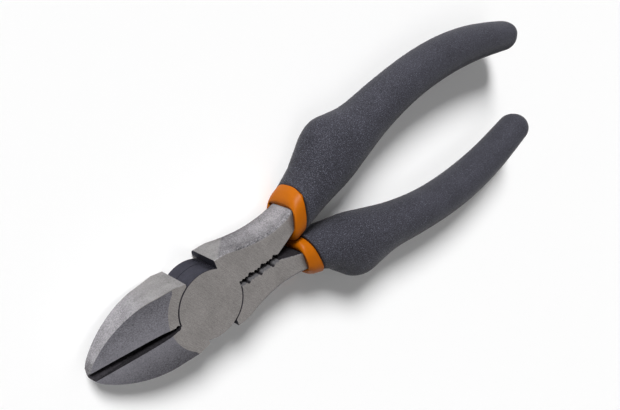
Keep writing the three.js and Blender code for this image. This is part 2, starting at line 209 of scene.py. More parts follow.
# %% Grinding lines group
def grinding_group():
    """Fine scratches that run in one direction across the tool, about 0 on average."""
    tree, given, result = new_group(
        "grinding lines",
        "ShaderNodeTree",
        [("Direction", FLOAT), ("Spacing", FLOAT), ("Stretch", FLOAT), ("Contrast", FLOAT)],
        [("Shade", FLOAT), ("Height", FLOAT)],
    )
    place = add_node(tree, "ShaderNodeTexCoord").outputs["Object"]
    turned = add_node(tree, "ShaderNodeVectorRotate",
                      {"Vector": place, "Angle": given.outputs["Direction"]}, rotation_type="Z_AXIS")
    across = calculate(tree, "DIVIDE", 1.0, given.outputs["Spacing"])
    along = calculate(tree, "DIVIDE", across, given.outputs["Stretch"])
    scales = add_node(tree, "ShaderNodeCombineXYZ", {"X": along, "Y": across, "Z": across})
    drawn = add_node(tree, "ShaderNodeVectorMath",
                     {0: turned.outputs[0], 1: scales.outputs[0]}, operation="MULTIPLY")
    lines = add_node(tree, "ShaderNodeTexNoise",
                     {"Vector": drawn.outputs[0], "Scale": 1.0, "Detail": 3.0, "Roughness": 0.65})
    centred = calculate(tree, "SUBTRACT", lines.outputs["Fac"], 0.5)
    shade = calculate(tree, "MULTIPLY", centred, given.outputs["Contrast"])
    tree.links.new(shade, result.inputs["Shade"])
    tree.links.new(lines.outputs["Fac"], result.inputs["Height"])
    return tree


grinding_lines = grinding_group()
print("group made:", grinding_lines.name)

# %% [markdown]
# ## Worn edges
#
# Handling polishes the edges of a steel tool, and they catch the light as thin bright lines. Each edge
# could get its own strip of faces and finish. The Bevel node finds them all instead: it gives the normal
# that the face would have with rounded edges, and where that differs from the real normal, there is
# an edge nearby. The group turns the difference into a mask from 0 to 1.

# %% Edge wear group
def edge_group():
    """A mask that is 1 at convex and concave edges and 0 on open faces."""
    tree, given, result = new_group(
        "edge wear",
        "ShaderNodeTree",
        [("Width", FLOAT), ("Sharpness", FLOAT)],
        [("Mask", FLOAT)],
    )
    rounded = add_node(tree, "ShaderNodeBevel", {"Radius": given.outputs["Width"]}, samples=8)
    real = add_node(tree, "ShaderNodeNewGeometry").outputs["Normal"]
    likeness = add_node(tree, "ShaderNodeVectorMath",
                        {0: rounded.outputs[0], 1: real}, operation="DOT_PRODUCT").outputs["Value"]
    difference = calculate(tree, "SUBTRACT", 1.0, likeness)
    mask = calculate(tree, "MULTIPLY", difference, given.outputs["Sharpness"])
    limited = add_node(tree, "ShaderNodeClamp", {"Value": mask}).outputs[0]
    tree.links.new(limited, result.inputs["Mask"])
    return tree


edge_wear = edge_group()
print("group made:", edge_wear.name)

# %% [markdown]
# ## Shading a colour
#
# Every finish darkens and lightens its own colour by some pattern. The pattern is a number about 0 and
# the colour is multiplied by one plus that number. It is one small group, so that each material states
# only its colour and the patterns that it sums.

# %% Shaded colour group
def shaded_colour_group():
    """A colour made lighter or darker by a number about 0."""
    tree, given, result = new_group(
        "shaded colour",
        "ShaderNodeTree",
        [("Colour", COLOUR), ("Shade", FLOAT)],
        [("Colour", COLOUR)],
    )
    factor = calculate(tree, "ADD", 1.0, given.outputs["Shade"])
    scaled = add_node(tree, "ShaderNodeVectorMath",
                      {0: given.outputs["Colour"], "Scale": factor}, operation="SCALE")
    tree.links.new(scaled.outputs[0], result.inputs["Colour"])
    return tree


shaded_colour = shaded_colour_group()
print("group made:", shaded_colour.name)

# %% [markdown]
# ## Looks of steel
#
# One forging shows several looks. The flats of the joint are surface ground and warm grey, the jaw's
# bevels are ground again at an angle and look bluer, the sides by the joint are ground smooth and the rest
# of them keep the sandy grey of blasting. The turned faces of the joint are dark, and the slot between
# the jaws is almost black with scale. All of them share one recipe with other numbers, so one function
# gives the colour, roughness and height of any look, for a material to use or to mix. Small helpers give
# shares from 0 to 1 by place or by the way that a face turns.

# %% Looks of steel
def place_group(tree, group, values):
    """A shader group placed in a material with its own values."""
    return add_node(tree, "ShaderNodeGroup", values, node_tree=group)


def new_material(name):
    """A material with its tree and its Principled BSDF."""
    material = bpy.data.materials.new(name)
    material.use_nodes = True
    tree = material.node_tree
    return material, tree, tree.nodes["Principled BSDF"]


def steel_look(tree, colour, roughness, grain, lines, shade=None):
    """Sockets for the colour, roughness and height of one look. Grain is (size, contrast, blotch size,
    contrast), lines are (direction, spacing, stretch, contrast), and shade is a number about 0."""
    grained = place_group(tree, surface_grain, dict(enumerate(grain)))
    ground = place_group(tree, grinding_lines, dict(enumerate(lines)))
    total = calculate(tree, "ADD", grained.outputs["Shade"], ground.outputs["Shade"])
    if shade:
        total = calculate(tree, "ADD", total, shade)
    tinted = place_group(tree, shaded_colour, {"Colour": (*colour, 1), "Shade": total})
    uneven = calculate(tree, "MULTIPLY", total, 0.3)
    height = calculate(tree, "ADD", grained.outputs["Height"], ground.outputs["Height"])
    return tinted.outputs["Colour"], calculate(tree, "SUBTRACT", roughness, uneven), height


def mixed(tree, share, first, second, data_type):
    """The first value where the share is 0 and the second where it is 1."""
    names = {"FLOAT": ("A", "B"), "RGBA": (6, 7)}[data_type]
    inputs = {"Factor": share, names[0]: first, names[1]: second}
    made = add_node(tree, "ShaderNodeMix", inputs, data_type=data_type)
    return made.outputs[0 if data_type == "FLOAT" else 2]


def mixed_look(tree, share, first, second):
    return tuple(
        mixed(tree, share, one, other, data_type)
        for one, other, data_type in zip(first, second, ("RGBA", "FLOAT", "FLOAT"))
    )


def apply_look(tree, surface, look, bump):
    """Feeds a look into the Principled BSDF."""
    colour, roughness, height = look
    bumps = add_node(tree, "ShaderNodeBump", {"Strength": bump, "Distance": 0.05 * mm, "Height": height})
    tree.links.new(colour, surface.inputs["Base Color"])
    tree.links.new(roughness, surface.inputs["Roughness"])
    tree.links.new(bumps.outputs[0], surface.inputs["Normal"])


def smooth_share(tree, value, low, high):
    """0 below the low value, 1 above the high one, and smooth between."""
    inputs = {"Value": value, "From Min": low, "From Max": high}
    return add_node(tree, "ShaderNodeMapRange", inputs, interpolation_type="SMOOTHSTEP").outputs[0]


def fading_share(tree, value, low, high):
    """1 below the low value, 0 above the high one, and smooth between."""
    return calculate(tree, "SUBTRACT", 1.0, smooth_share(tree, value, low, high))


def product(tree, first, *others):
    """Sockets or numbers multiplied together."""
    for other in others:
        first = calculate(tree, "MULTIPLY", first, other)
    return first


def place_parts(tree):
    """The place on the object, as sockets X, Y and Z."""
    place = add_node(tree, "ShaderNodeTexCoord").outputs["Object"]
    return add_node(tree, "ShaderNodeSeparateXYZ", {0: place}).outputs


def normal_parts(tree):
    """The way that the surface faces, as sockets X, Y and Z."""
    normal = add_node(tree, "ShaderNodeNewGeometry").outputs["Normal"]
    return add_node(tree, "ShaderNodeSeparateXYZ", {0: normal}).outputs


def finish_steel(surface, metallic, gloss=0.5):
    """The settings of a steel that don't change over it. The tint dims its shine seen from low down."""
    surface.inputs["Metallic"].default_value = metallic
    surface.inputs["Specular IOR Level"].default_value = gloss
    surface.inputs["Specular Tint"].default_value = (0.25, 0.25, 0.25, 1)


no_lines = (0.0, 0.3 * mm, 1.0, 0.0)
across_tool = math.radians(60)
print("recipe for steel ready")

# %% [markdown]
# ## Forged body
#
# The flat and the sides meet in a round edge on the handles, so the change from ground to blasted steel
# there isn't a line between faces but follows the way that the surface faces. The material reads the
# normal: where it points up or down the steel is ground, elsewhere blasted. A second share, by the place
# along the tool, leaves the sides by the joint smooth. Between flat and side runs a faint band of
# painted shade.
#
# The grey of the real sides isn't even, and the lamp alone doesn't give its tones. So painted shade,
# placed by position, darkens the sides where the shank turns away from the middle of its thickness,
# behind the joint and on the nose, and a warm painted shade follows the ridge where the jaw begins.
# It stays there in any light.
# Seen from low down, the flats would mirror the lamp as plain white. Layer Weight knows how flat the view
# is and makes them rougher there, more than real ground steel is.

# %% Forged body material
flat_facing = (0.86, 0.99)
corner_facing = (0.3, 0.6)
band_facing = (0.93, 0.995)
handle_start = (6.2 * mm, 7.4 * mm)
jaw_start = (10 * mm, 24 * mm)
# Painted shade on the sides: how far it is off the middle of their depth, and where along the tool.
side_shade_middle = 6 * mm
side_shade_reach = 5 * mm
side_shade_start = (4 * mm, 28 * mm)
joint_shadow = (15 * mm, 27 * mm)
nose_start = (34.5 * mm, 37.5 * mm)
ridge_start = (6.5 * mm, 8 * mm)
ridge_end = (15 * mm, 23 * mm)
ridge_depth = (3.5 * mm, 5.5 * mm)
low_view = (0.4, 0.65)
# How much each painted shade darkens the sides.
painted_shade_amounts = {"band": 0.12, "side_edge_shade": 0.36, "joint": 0.32, "nose": 0.45}


def side_shade(tree, along, below_front, upright, on_handle):
    """The painted shade of a side, with its lighter worn edges, as a number about 0."""
    off_middle = calculate(
        tree, "DIVIDE", calculate(tree, "SUBTRACT", below_front, side_shade_middle), side_shade_reach)
    side_edge_shade = calculate(tree, "MINIMUM", product(tree, off_middle, off_middle), 1.0)
    behind_joint = product(tree, along, -1.0)
    shares = {
        # Shares of painted shade: the band at the corner, the side's edges off its middle, behind the joint,
        # the nose.
        "band": product(tree, smooth_share(tree, upright, *corner_facing),
                        fading_share(tree, upright, *band_facing)),
        "side_edge_shade": product(tree, side_edge_shade, smooth_share(tree, behind_joint, *side_shade_start)),
        "joint": product(tree, on_handle, fading_share(tree, behind_joint, *joint_shadow)),
        "nose": smooth_share(tree, along, *nose_start),
    }
    worn = place_group(tree, edge_wear, {"Width": 0.3 * mm, "Sharpness": 2.5})
    shade = product(tree, worn.outputs["Mask"], 0.12)
    for name, share in shares.items():
        shade = calculate(tree, "SUBTRACT", shade, product(tree, share, painted_shade_amounts[name]))
    return shade


def forged_body():
    """Steel of the forging's outside: ground flats, smooth sides by the joint and blasted sides."""
    material, tree, surface = new_material("forged_body")
    upright = calculate(tree, "ABSOLUTE", normal_parts(tree)["Z"])
    is_flat = smooth_share(tree, upright, *flat_facing)
    along, across, up = place_parts(tree)
    turned_over = product(tree, calculate(tree, "SIGN", across), -1.0)
    height = product(tree, calculate(tree, "SUBTRACT", up, lap_level), turned_over)
    below_front = calculate(tree, "SUBTRACT", joint_top - lap_level, height)
    behind = calculate(tree, "SUBTRACT", product(tree, along, -1.0), product(tree, below_front, 0.8))
    on_handle = smooth_share(tree, behind, *handle_start)
    is_blasted = calculate(tree, "ADD", on_handle, smooth_share(tree, along, *jaw_start))
    shade = side_shade(tree, along, below_front, upright, on_handle)

    # Painted shade along the ridge where the jaw begins, in a warm darker grey.
    ridge_shade = product(
        tree,
        place_group(tree, edge_wear, {"Width": 0.9 * mm, "Sharpness": 12.0}).outputs["Mask"],
        smooth_share(tree, along, *ridge_start),
        fading_share(tree, along, *ridge_end),
        fading_share(tree, below_front, *ridge_depth),
    )
    smooth_side = steel_look(
        tree, (0.302, 0.293, 0.294), 0.5, grain=(0.4 * mm, 0.9, 4 * mm, 0.7), lines=no_lines, shade=shade)
    blasted = steel_look(
        tree, (0.328, 0.318, 0.335), 0.58, grain=(0.42 * mm, 1.5, 4 * mm, 0.7), lines=no_lines, shade=shade)
    # The colour of the painted shade along the ridge.
    ridge_shaded = steel_look(
        tree, (0.17, 0.158, 0.148), 0.5, grain=(0.4 * mm, 0.9, 2 * mm, 0.6), lines=no_lines)
    side = mixed_look(tree, is_blasted, smooth_side, blasted)
    side = mixed_look(tree, ridge_shade, side, ridge_shaded)
    colour, roughness, relief = steel_look(
        tree, (0.207, 0.195, 0.189), 0.46,
        grain=(0.35 * mm, 0.9, 5 * mm, 0.4), lines=(across_tool, 0.24 * mm, 12, 0.7))
    facing = add_node(tree, "ShaderNodeLayerWeight", {"Blend": 0.5}).outputs["Facing"]
    duller = product(tree, smooth_share(tree, facing, *low_view), 0.4)
    flat = (colour, calculate(tree, "ADD", roughness, duller), relief)
    apply_look(tree, surface, mixed_look(tree, is_flat, side, flat), 0.3)
    finish_steel(surface, 0.75)
    return material


forged_steel = forged_body()
print("material:", forged_steel.name)

# %% [markdown]
# ## Bevels, joint, teeth and slot
#
# The other zones need less. A bevel is cool ground steel that darkens from the cutting edge to the
# outline, as a slightly convex grind does. Real curvature would need faces that the solid doesn't have,
# so a bump on a parabola bends only the shading, and painted light and shade by place deepen it: lighter
# at the cutting edge, darker towards the outline. The turned joint and the teeth take one look all over.
# The slot's wall that faces +Y is lighter than the lamp here makes it, so that look has painted light
# where it faces +Y and painted shade where it faces -Y.

# %% Other steel finishes
bevel_flat_breadth = 2.5 * mm
bevel_painted_shade_fall = 0.058 / mm
bevel_bow = 10.0


def plain_steel(name, colour, metallic, roughness, grain, lines, bump, gloss=0.5, painted_light_and_shade=0.0):
    """Steel with one look all over, with painted light by a share facing +Y and painted shade facing -Y."""
    material, tree, surface = new_material(name)
    # Painted light on faces towards +Y and painted shade on faces towards -Y.
    shade = product(tree, normal_parts(tree)["Y"], painted_light_and_shade)
    apply_look(tree, surface, steel_look(tree, colour, roughness, grain, lines, shade), bump)
    finish_steel(surface, metallic, gloss)
    return material


def ground_bevel():
    """Ground steel, bumped a little convex, with painted light at the cutting edge and painted shade
    outwards.
    """
    material, tree, surface = new_material("ground_bevel")
    across = calculate(tree, "ABSOLUTE", place_parts(tree)["Y"])
    outwards = calculate(tree, "MAXIMUM", calculate(tree, "SUBTRACT", across, bevel_flat_breadth), 0.0)
    # Painted light near the cutting edge, turning to painted shade towards the outline.
    shade = calculate(tree, "ADD", product(tree, outwards, -bevel_painted_shade_fall), 0.2)
    look = steel_look(
        tree, (0.120, 0.117, 0.131), 0.42,
        grain=(0.34 * mm, 1.5, 6 * mm, 0.4), lines=(0.0, 0.2 * mm, 14, 0.6), shade=shade)
    apply_look(tree, surface, look, 0.2)
    sunk = product(tree, product(tree, outwards, outwards), -0.5 * bevel_bow)
    bowed = add_node(tree, "ShaderNodeBump", {"Strength": 1.0, "Distance": 1.0, "Height": sunk})
    grained = surface.inputs["Normal"].links[0].from_node
    tree.links.new(bowed.outputs[0], grained.inputs["Normal"])
    finish_steel(surface, 0.8)
    return material


steel_finishes = {
    "body": forged_steel,
    "bevel": ground_bevel(),
    "machined": plain_steel(
        "machined_joint", (0.061, 0.061, 0.078), 0.8, 0.4,
        grain=(0.4 * mm, 0.5, 3 * mm, 0.5), lines=(0.0, 0.25 * mm, 10, 0.6), bump=0.2),
    "crimp": plain_steel(
        "crimping_teeth", (0.18, 0.176, 0.186), 0.4, 0.5,
        grain=(0.4 * mm, 0.4, 3 * mm, 0.3), lines=no_lines, bump=0.2),
    "slot": plain_steel(
        "slot_scale_and_painted_shade", (0.058, 0.054, 0.062), 0.0, 0.7,
        grain=(0.4 * mm, 0.9, 3 * mm, 0.3), lines=no_lines, bump=0.2, gloss=0.12, painted_light_and_shade=0.7),
}
print("steel finishes:", ", ".join(steel_finishes))

# %% [markdown]
# ## Orange sleeve
#
# The inner layer is a hard moulded plastic. It is semi-matt and evenly coloured, so the work is in small
# things: a faint orange-peel texture, a slightly darker tone in places from handling, and a soft
# highlight. Subsurface light would warm it a little more, but a good base colour does nearly the same
# and is simpler to carry to other programs.

# %% Orange sleeve
def moulded_plastic():
    """Semi-matt orange plastic."""
    material, tree, surface = new_material("orange_moulding")
    peel = place_group(tree, surface_grain, dict(enumerate((0.5 * mm, 0.12, 4 * mm, 0.22))))
    tinted = place_group(
        tree, shaded_colour, {"Colour": (0.365, 0.094, 0.001, 1), "Shade": peel.outputs["Shade"]})
    uneven = calculate(tree, "MULTIPLY", peel.outputs["Shade"], 0.6)
    bumps = add_node(tree, "ShaderNodeBump",
                     {"Strength": 0.12, "Distance": 0.05 * mm, "Height": peel.outputs["Height"]})
    tree.links.new(tinted.outputs["Colour"], surface.inputs["Base Color"])
    tree.links.new(calculate(tree, "ADD", 0.42, uneven), surface.inputs["Roughness"])
    tree.links.new(bumps.outputs[0], surface.inputs["Normal"])
    surface.inputs["Specular IOR Level"].default_value = 0.1
    return material


orange = moulded_plastic()
print("material:", orange.name)

# %% [markdown]
# ## Grey grip
#
# The outer layer is a soft foam-like rubber with a sandy skin. Close by it shows dark pores and light
# specks of about a quarter of a millimetre. A plain noise looks like fog at that size, so the specks come
# from a sharp cut in the noise: only its highest values turn light. Near the collar the specks are
# stronger, a painted sheen, and the grey is a little darker, painted shade; both fade towards the tail.
# The same grain lifts the surface a little, which breaks up the highlight as the real texture does, and
# a weak sheen softens its outline.

# %% Grey grip
def sandy_rubber():
    """Blue-grey rubber with a sandy skin."""
    material, tree, surface = new_material("sandy_grip")
    sand = place_group(tree, surface_grain, dict(enumerate((0.25 * mm, 3.0, 9 * mm, 0.6))))
    # Near the collar: stronger specks as painted sheen, and a darker grey as painted shade.
    near_collar = smooth_share(tree, place_parts(tree)["X"], -115 * mm, -55 * mm)
    amount = calculate(tree, "ADD", 0.55, product(tree, near_collar, 0.9))
    bright = add_node(tree, "ShaderNodeMapRange",
                      {"Value": sand.outputs["Height"], "From Min": 0.57, "From Max": 0.74, "To Max": 2.2})
    specks = product(tree, bright.outputs[0], amount)
    shade = calculate(tree, "ADD", sand.outputs["Shade"], specks)
    shade = calculate(tree, "SUBTRACT", shade, product(tree, near_collar, 0.12))
    tinted = place_group(tree, shaded_colour, {"Colour": (0.0315, 0.0315, 0.041, 1), "Shade": shade})
    bumps = add_node(tree, "ShaderNodeBump",
                     {"Strength": 0.6, "Distance": 0.12 * mm, "Height": sand.outputs["Height"]})
    tree.links.new(tinted.outputs["Colour"], surface.inputs["Base Color"])
    uneven = calculate(tree, "SUBTRACT", 0.86, product(tree, specks, 0.15))
    tree.links.new(uneven, surface.inputs["Roughness"])
    tree.links.new(bumps.outputs[0], surface.inputs["Normal"])
    surface.inputs["Specular IOR Level"].default_value = 0.2
    surface.inputs["Sheen Weight"].default_value = 0.12
    surface.inputs["Sheen Roughness"].default_value = 0.4
    return material


grip_rubber = sandy_rubber()
print("material:", grip_rubber.name)

# %% [markdown]
# ## The two forgings
#
# The forged halves are shaped in the solid model down to the teeth, so their shape is kept. What a solid
# lacks is the way that its facets are shaded. We could subdivide it, but that would melt the crisp
# ground edges. Instead a copy is merged into one skin, each face gets the finish of the zone that it lies
# in, and edges stay sharp where the surface turns by more than a fillet's step or the finish changes.
# The cutting edges meet in the real tool, so the hair's breadth between the solid ones is closed.
# Weighted normals then keep the flats flat and let the rounds flow.

# %% Which finish a face has
def face_finish(centre, normal):
    """The finish of a face of a forging, from its place and the way that it faces."""
    x, y, z = centre
    radius = math.hypot(x, y)
    tolerance = 0.06 * mm
    level = abs(normal.z) > 0.9
    outer_face = min(abs(z - joint_top), abs(z - joint_bottom)) < tolerance
    if level and outer_face:
        return "body"
    if level and x > jaw_shoulder_place and radius > boss_radius - tolerance:
        return "bevel"
    if math.hypot(x - relief_place, y) < relief_radius + tolerance:
        return "slot"
    on_nose = x > nose_place and normal.x > 0.3
    if x > relief_place and abs(y) < slot_half_breadth + tolerance and not on_nose:
        return "slot"
    if abs(z - lap_level) < disc_edge_gap and level:
        return "machined"
    at_disc_edge = abs(radius - disc_radius) < 2 * disc_edge_gap and not level
    near_face = min(joint_top - z, z - joint_bottom) < disc_edge_gap
    # Near the faces, and on the gap's outer wall, the disc's edge takes the slot's dark scale as painted
    # shade.
    if at_disc_edge:
        return "slot" if near_face or radius > disc_radius + disc_edge_gap / 2 else "machined"
    at_shoulder = abs(x - jaw_shoulder_place) < tolerance or abs(x + handle_shoulder_place) < tolerance
    if at_shoulder and abs(normal.x) > 0.9:
        return "machined"
    in_crimp = -crimp_end + 1 * mm < x < -disc_radius + 2 * mm
    if in_crimp and abs(y) < crimp_reach and not level:
        # The cores of the nests take the slot's dark scale as painted shade.
        first_nest = nest_middle - nest_pitch + math.copysign(nest_stagger / 2, y)
        from_nest = min(abs(x - first_nest - i * nest_pitch) for i in range(3))
        return "slot" if from_nest < 0.8 * nest_radius else "crimp"
    # The shank's sides that face the middle lie in the other half's shade and take the slot's dark scale as
    # painted shade.
    faces_middle = y * normal.y < 0 and abs(normal.y) > 0.7
    if faces_middle and -bare_shank_end < x < -disc_radius:
        return "slot"
    return "body"


print("a face on top of the joint is", face_finish(Vector((0, 0, joint_top)), Vector((0, 0, 1))))

# %% Make the forgings
merge_distance = 0.001 * mm
sharp_angle = math.radians(28)
cutting_gap = 0.1 * mm
closed_cutting_gap = 0.004 * mm


def dressed_forging(node, name, body):
    """A copy of a forging's solid with a finish on each face, in place of the plain one."""
    skin = bmesh.new()
    skin.from_mesh(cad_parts[node].data)
    bmesh.ops.remove_doubles(skin, verts=skin.verts, dist=merge_distance)
    for point in skin.verts:
        if point.co.x > relief_place and abs(point.co.y) < 0.6 * cutting_gap:
            point.co.y = math.copysign(closed_cutting_gap / 2, point.co.y)
    names = list(steel_finishes)
    for face in skin.faces:
        face.smooth = True
        face.material_index = names.index(face_finish(face.calc_center_median(), face.normal))
    for edge in skin.edges:
        finishes = {face.material_index for face in edge.link_faces}
        edge.smooth = len(finishes) == 1 and edge.calc_face_angle(0) < sharp_angle
    mesh = bpy.data.meshes.new(name)
    skin.to_mesh(mesh)
    skin.free()
    for material in steel_finishes.values():
        mesh.materials.append(material)
    forging = bpy.data.objects.new(name, mesh)
    scene.collection.objects.link(forging)
    forging.modifiers.new("weighted normals", "WEIGHTED_NORMAL").keep_sharp = True
    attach(forging, body)
    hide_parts(node)
    print(name, "has", len(mesh.polygons), "faces")


for half in ("upper", "lower"):
    dressed_forging(half + "_plier_half", half + "_forging", half)

# %% [markdown]
# ## The rivet
#
# The joint's rivet is peened into both halves and ground away with the flat, so that its seam can hardly
# be seen. In the solid model it has a running clearance, which would show as a dark ring. Its visible
# skin is therefore turned from a profile whose heads fill the countersinks to the rim. A profile and
# a loop are all that a turned piece needs.

# %% Make the rivet
rivet_radius = 3.2 * mm
rivet_head_radius = 4.345 * mm
rivet_head_depth = 1.6 * mm
rivet_facets = 80


def turned_piece(name, profile, facets):
    """A closed body of revolution about the pivot axis. The profile starts and ends on the axis."""
    skin = bmesh.new()
    rings = []
    for radius, level in profile:
        if radius == 0:
            rings.append([skin.verts.new((0, 0, level))] * facets)
            continue
        angles = (2 * math.pi * i / facets for i in range(facets))
        rings.append([skin.verts.new((radius * math.cos(a), radius * math.sin(a), level)) for a in angles])
    for below, above in zip(rings, rings[1:]):
        for i in range(facets):
            k = (i + 1) % facets
            corners = dict.fromkeys((below[i], below[k], above[k], above[i]))
            skin.faces.new(list(corners)).smooth = True
    bmesh.ops.recalc_face_normals(skin, faces=skin.faces)
    mesh = bpy.data.meshes.new(name)
    skin.to_mesh(mesh)
    skin.free()
    mesh.set_sharp_from_angle(angle=sharp_angle)
    piece = bpy.data.objects.new(name, mesh)
    scene.collection.objects.link(piece)
    return piece


rivet_profile = [
    (0, joint_bottom),
    (rivet_head_radius, joint_bottom),
    (rivet_radius, joint_bottom + rivet_head_depth),
    (rivet_radius, joint_top - rivet_head_depth),
    (rivet_head_radius, joint_top),
    (0, joint_top),
]
rivet = turned_piece("joint_rivet", rivet_profile, rivet_facets)
rivet.data.materials.append(steel_finishes["body"])
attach(rivet, "lower")
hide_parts("pivot_rivet")
print("rivet has", len(rivet.data.polygons), "faces")

# %% [markdown]
# ## The handle's spine
#
# Both covers follow the curved tang of the forging. A Bezier curve could be drawn by eye, but the covers
# have to sit exactly where the solid ones do. So the spine goes through the same nine points, as shares
# of the handle's length and spread, joined by a centripetal Catmull-Rom curve. That kind of curve takes
# no handles and doesn't overshoot where the points are unevenly spaced. It is walked by arc length.

# %% The handle's spine
handle_length = 163.2 * mm
handle_spread = 26 * mm
spine_shares = [
    (0, 0.27), (0.097, 0.235), (0.193, 0.245), (0.29, 0.44), (0.406, 0.7),
    (0.532, 0.88), (0.677, 0.985), (0.822, 0.955), (1, 0.74),
]
steps_each = 60


def smooth_curve(points):
    """Close points on the centripetal Catmull-Rom curve through the given ones."""
    chain = np.vstack([2 * points[0] - points[1], points, 2 * points[-1] - points[-2]])
    ways = np.arange(steps_each)[:, None] / steps_each
    made = []
    for i in range(len(points) - 1):
        before, start, end, after = chain[i:i + 4]
        knots = [math.sqrt(np.linalg.norm(b - a)) for a, b in ((before, start), (start, end), (end, after))]
        first, middle, last = knots
        leave = ((start - before) / first - (end - before) / (first + middle)) * middle + (end - start)
        arrive = ((after - end) / last - (after - start) / (middle + last)) * middle + (end - start)
        square = 3 * (end - start) - 2 * leave - arrive
        cubic = 2 * (start - end) + leave + arrive
        made.append(start + leave * ways + square * ways**2 + cubic * ways**3)
    made.append(points[-1:])
    return np.vstack(made)


spine_points = [(-along * handle_length, -across * handle_spread) for along, across in spine_shares]
spine = smooth_curve(np.array(spine_points))
spine_steps = np.linalg.norm(np.diff(spine, axis=0), axis=1)
spine_walk = np.concatenate([[0], np.cumsum(spine_steps)])
spine_length = spine_walk[-1]
spine_slopes = np.gradient(spine, spine_walk, axis=0)


def spine_at(distance):
    """The spine's place and its direction towards the tail at a distance from the pivot."""
    place = [np.interp(distance, spine_walk, spine[:, axis]) for axis in (0, 1)]
    along = [np.interp(distance, spine_walk, spine_slopes[:, axis]) for axis in (0, 1)]
    return Vector((*place, 0)), Vector((*along, 0)).normalized()


print("the spine is", round(spine_length / mm, 2), "mm long")

# %% [markdown]
# ## How far the covers reach
#
# At each distance along the spine a cover reaches outwards, inwards and up by some amount. Those amounts
# are the handle's design: the waist behind the collar, the swell under the finger guard, the slim tail.
# They are kept as short tables of shares of the half width and half thickness, and
# a cubic through the rows gives every value between them.

# %% Reach tables
shank_half_width = 5 * mm
half_thickness = (joint_top - joint_bottom) / 2
grip_half_width = 7.6 * mm
grip_half_thickness = 7.4 * mm

shank_out_shares = {
    "upper": [(0.13, 0.71), (0.2, 0.66), (0.3, 0.66), (1, 0.5)],
    "lower": [(0.13, 0.72), (0.16, 0.71), (0.2, 0.77), (0.225, 0.77), (0.3, 0.66), (1, 0.5)],
}
shank_in_shares = [(0.17, 0.84), (0.2, 0.57), (0.225, 0.47), (0.27, 0.5), (0.4, 0.6), (1, 0.5)]
shank_high_shares = [(0.16, 1), (0.22, 0.88), (0.27, 0.68), (0.4, 0.56), (1, 0.5)]
grip_out_shares = [
    (0.2, 0.7), (0.24, 0.84), (0.28, 1.01), (0.305, 1.14), (0.335, 1.44), (0.36, 1.7), (0.39, 1.76),
    (0.42, 1.48), (0.45, 1.21), (0.48, 1.09), (0.53, 1.06), (0.62, 1.04), (0.72, 1.02), (0.8, 0.95),
    (0.9, 0.81), (0.96, 0.7), (1, 0.6),
]
grip_in_shares = [
    (0.2, 1.03), (0.24, 1.05), (0.29, 1.08), (0.36, 1.27), (0.42, 1.22), (0.5, 1.06), (0.58, 0.93),
    (0.64, 0.9), (0.8, 0.91), (0.88, 0.88), (1, 0.8),
]
grip_high_shares = [
    (0.2, 1.06), (0.28, 1.16), (0.38, 1.27), (0.44, 1.2), (0.5, 1.08), (0.6, 1.02), (0.75, 0.96),
    (0.9, 0.9), (1, 0.86),
]
slant_shares = {
    "upper": [(0.25, 1), (0.265, 0.9), (0.31, 0)],
    "lower": [(0.212, 0.6), (0.243, 1), (0.265, 0.9), (0.31, 0)],
}


def share_at(shares, place):
    """A smooth value between the rows of a table of (place share, value share)."""
    last = len(shares) - 1
    if place <= shares[0][0]:
        return shares[0][1]
    if place >= shares[last][0]:
        return shares[last][1]
    i = next(row for row, (start, _) in enumerate(shares) if start > place) - 1
    (x1, y1), (x2, y2) = shares[i], shares[i + 1]
    (x0, y0), (x3, y3) = shares[max(i - 1, 0)], shares[min(i + 2, last)]
    span = x2 - x1
    way = (place - x1) / span
    slope1 = (y2 - y0) / (x2 - x0) * span
    slope2 = (y3 - y1) / (x3 - x1) * span
    cubic = 2 * (y1 - y2) + slope1 + slope2
    square = 3 * (y2 - y1) - 2 * slope1 - slope2
    return ((cubic * way + square) * way + slope1) * way + y1


def shank_reach(distance, clearance, half):
    """Reaches outwards, inwards and up of the room round a half's shank or tang, with a clearance."""
    place = distance / spine_length
    return np.array([
        shank_half_width * share_at(shank_out_shares[half], place) + clearance,
        shank_half_width * share_at(shank_in_shares, place) + clearance,
        half_thickness * min(share_at(shank_high_shares, place), 1) + clearance,
    ])


def grip_reach(distance):
    """Reaches outwards, inwards and up of the grip."""
    place = distance / spine_length
    return np.array([
        grip_half_width * share_at(grip_out_shares, place),
        grip_half_width * share_at(grip_in_shares, place),
        grip_half_thickness * share_at(grip_high_shares, place),
    ])


print("grip reaches in mm at mid handle:", np.round(grip_reach(spine_length / 2) / mm, 2))

# %% [markdown]
# ## Covers as one run of rings
#
# A cover is a sock: an outer skin that turns over at its mouth and runs back inside as a lining. Two
# separate surfaces joined by a rim would need stitching. If a single row of rings starts at the pole of
# the tail, runs up the outside, turns round the lip and ends at the pole inside, the whole sock is one
# sweep without a seam. Each ring is stored as one point with its reaches, so that the sweep itself
# can be left to Geometry Nodes.

# %% Rings of the covers
collar_slant = math.radians(30)
skin_depth = 0.05 * mm
collar_fullness = 2.6
grip_fullness = 2.2
bore_fullness = 8.0
quarter = [math.radians(angle) for angle in (0, 22.5, 45, 67.5, 90)]


def ring(distance, reach, fullness, half):
    """One ring of a cover: distance along the spine, reaches, fullness and slant."""
    slant = collar_slant * share_at(slant_shares[half], distance / spine_length)
    return distance, tuple(reach), fullness, slant


def run(start, end, count):
    """Even steps from start to end, both included."""
    return [start + (end - start) * i / count for i in range(count + 1)]


def lip(distance, reach, radius, fullness, half):
    """Rings round a lip that faces the jaws. The reach is that of the skin behind the lip."""
    return [
        ring(distance + radius * (1 - math.sin(turn)), reach - radius * (1 - math.cos(turn)), fullness, half)
        for turn in quarter
    ]


